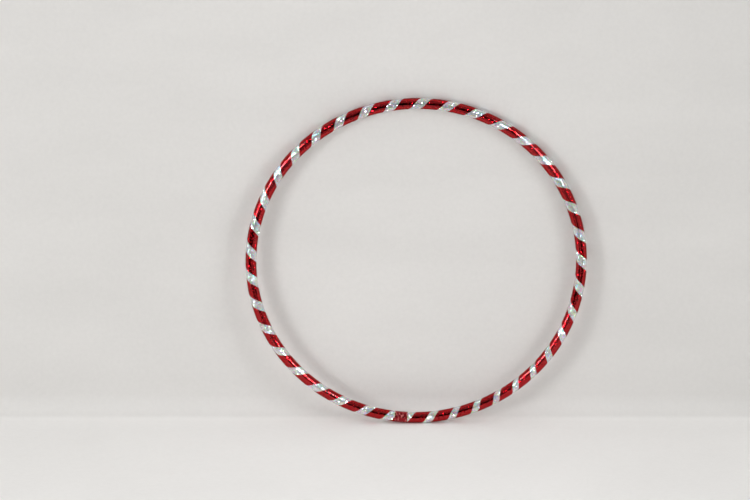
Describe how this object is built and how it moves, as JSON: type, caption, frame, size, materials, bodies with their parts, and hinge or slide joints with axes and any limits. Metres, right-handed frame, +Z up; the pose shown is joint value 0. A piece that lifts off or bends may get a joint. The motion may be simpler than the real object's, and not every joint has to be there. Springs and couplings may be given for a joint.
{
  "type": "rhythmic gymnastics hoop",
  "caption": "Round gymnastics hoop: a plastic tube closed by an inner plug, covered in silver film and wound with a spiral red tape.",
  "frame": {"origin": "centre of the hoop, in the middle of the tube's thickness", "axes": "+Y is the axis of the ring, away from the viewer; +Z up and +X right with the hoop standing upright, seen from -Y"},
  "size_m": [0.6406, 0.021, 0.6405],
  "materials": {
    "tube_plastic": "plain extruded polyethylene",
    "plug_plastic": "moulded, ribbed",
    "pin_steel": "plain wire",
    "silver_film": "metallised film with small rainbow facets",
    "red_film": "metallised red film with fine facets",
    "band_film": "rubbed metallised red film"
  },
  "bodies": {
    "root": {"hoop_tube": "tube_plastic", "joint_plug": "plug_plastic", "joint_pins": "pin_steel", "silver_tape": "silver_film", "red_tape": "red_film", "joint_band": "band_film"}
  },
  "joints": []
}
